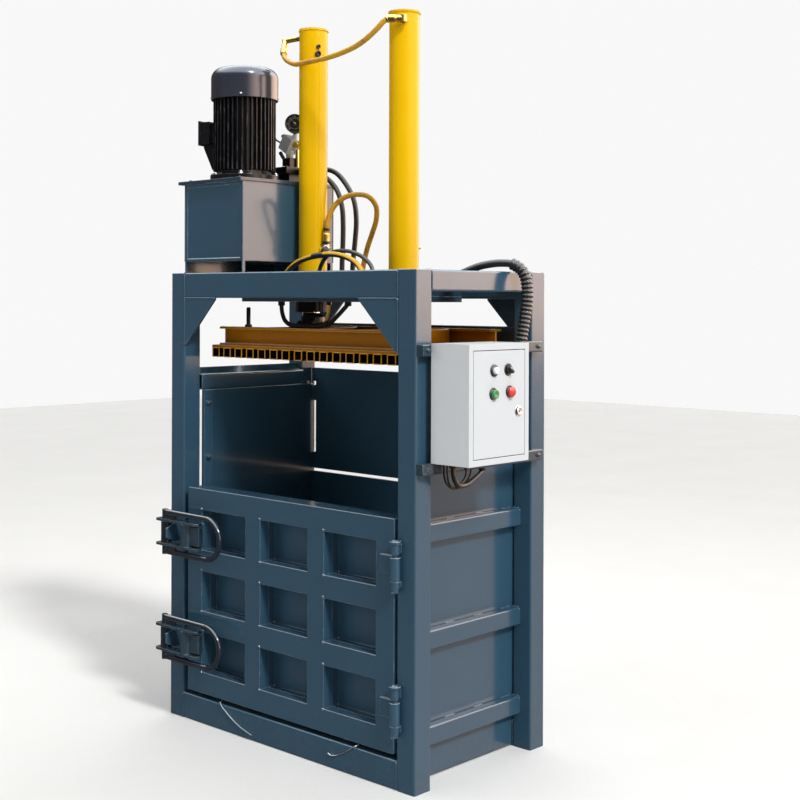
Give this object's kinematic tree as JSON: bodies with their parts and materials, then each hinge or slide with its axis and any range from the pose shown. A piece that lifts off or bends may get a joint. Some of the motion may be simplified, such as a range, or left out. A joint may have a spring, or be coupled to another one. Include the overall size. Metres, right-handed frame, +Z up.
{
  "type": "recycling baler",
  "caption": "Upright baling press: welded tube frame with a pocketed door, two hydraulic rams over a platen, a roof power pack and a control cabinet.",
  "frame": {"origin": "centre of the frame's footprint on the floor, on the underside of the centre floor bearer", "axes": "+Z up, +X to the operator's right towards the control cabinet, +Y from the door to the rear wall"},
  "size_m": [1.5217, 0.769, 2.643],
  "materials": {
    "slate": "gloss slate blue-grey enamel",
    "slate_dark": "gloss slate blue-grey enamel in shade",
    "yellow_paint": "gloss safety yellow enamel",
    "gold_paint": "gloss golden yellow enamel",
    "chrome_rod": "ground chrome",
    "machined_steel": "machined steel",
    "fitting_brass": "plated and overpainted fittings",
    "black_casting": "black enamel on cast iron",
    "cowl_paint": "dark metallic enamel",
    "black_plastic": "black plastic",
    "yellow_hose": "rubber hose with yellow overspray",
    "black_hose": "black rubber hose",
    "conduit_plastic": "corrugated black plastic",
    "cabinet_paint": "light grey powder coat",
    "green_plastic": "green plastic",
    "red_plastic": "red plastic",
    "baling_wire": "dark annealed wire"
  },
  "bodies": {
    "frame": {"front_left_post": "slate", "front_right_post": "slate", "rear_posts": "slate", "front_top_beam": "slate", "rear_top_beam": "slate", "side_top_beams": "slate", "corner_gussets": "slate", "front_sill": "slate", "left_wall": "slate", "right_wall": "slate", "wall_ribs": "slate", "rear_wall_lower": "slate", "rear_wall_upper": "slate", "hopper_rails": "slate", "post_hardware": "slate", "oil_tank": "slate", "floor_bearers": "slate_dark", "chamber_floor": "slate_dark", "cylinder_bridge": "slate_dark", "tank_bearer": "slate_dark", "tank_lid": "slate_dark", "cabinet_rails": "slate_dark", "left_cylinder": "yellow_paint", "right_cylinder": "yellow_paint", "gear_pump": "machined_steel", "switchgear": "machined_steel", "solenoid_valve": "machined_steel", "port_fittings": "fitting_brass", "cylinder_glands": "black_casting", "motor_body": "black_casting", "terminal_box": "black_casting", "valve_manifold": "black_casting", "motor_cowl": "cowl_paint", "tank_breather": "black_plastic", "pressure_gauge": "black_plastic", "crossover_hose": "yellow_hose", "front_hose": "black_hose", "riser_hose": "black_hose", "pressure_hose": "black_hose", "return_hose": "black_hose", "cabinet_cable": "black_hose", "conduit": "conduit_plastic", "cabinet_shell": "cabinet_paint", "tie_wires": "baling_wire"},
    "platen": {"platen_plate": "gold_paint", "platen_channels": "yellow_paint", "platen_beams": "gold_paint", "left_rod": "chrome_rod", "right_rod": "chrome_rod"},
    "door": {"baling_door": "slate", "door_hinges": "slate", "latch_brackets": "slate"},
    "upper_latch": {"upper_latch_handle": "slate"},
    "lower_latch": {"lower_latch_handle": "slate"},
    "cabinet_door": {"cabinet_door": "cabinet_paint"},
    "lock": {"lock_barrel": "black_plastic"},
    "selector": {"selector_knob": "black_plastic"},
    "green_button": {"green_button": "green_plastic"},
    "red_button": {"red_button": "red_plastic"},
    "rotor": {"motor_rotor": "machined_steel"}
  },
  "joints": [
    {"name": "platen_slide", "type": "slide", "parent": "frame", "child": "platen", "axis": [0, 0, -1], "range_m": [0, 0.85]},
    {"name": "door_hinge", "type": "hinge", "parent": "frame", "child": "door", "pos_m": [0.571, -0.3648, 0.5], "axis": [0, 0, 1], "range_deg": [0, 135]},
    {"name": "upper_latch_turn", "type": "hinge", "parent": "door", "child": "upper_latch", "pos_m": [-0.6, -0.402, 0.714], "axis": [0, 0, -1], "range_deg": [0, 160]},
    {"name": "lower_latch_turn", "type": "hinge", "parent": "door", "child": "lower_latch", "pos_m": [-0.6, -0.402, 0.314], "axis": [0, 0, -1], "range_deg": [0, 160]},
    {"name": "cabinet_hinge", "type": "hinge", "parent": "frame", "child": "cabinet_door", "pos_m": [0.824, -0.274, 1.266], "axis": [0, 0, -1], "range_deg": [0, 110]},
    {"name": "lock_turn", "type": "hinge", "parent": "cabinet_door", "child": "lock", "pos_m": [0.829, -0.053, 1.238], "axis": [1, 0, 0], "range_deg": [0, 90]},
    {"name": "selector_turn", "type": "hinge", "parent": "cabinet_door", "child": "selector", "pos_m": [0.829, -0.106, 1.375], "axis": [1, 0, 0], "range_deg": [0, 60]},
    {"name": "green_push", "type": "slide", "parent": "cabinet_door", "child": "green_button", "axis": [-1, 0, 0], "range_m": [0, 0.004], "stiffness_N_per_m": 600},
    {"name": "red_push", "type": "slide", "parent": "cabinet_door", "child": "red_button", "axis": [-1, 0, 0], "range_m": [0, 0.004], "stiffness_N_per_m": 600},
    {"name": "rotor_spin", "type": "hinge", "parent": "frame", "child": "rotor", "pos_m": [-0.4855, -0.11, 2.2], "axis": [0, 0, 1], "continuous": true}
  ]
}
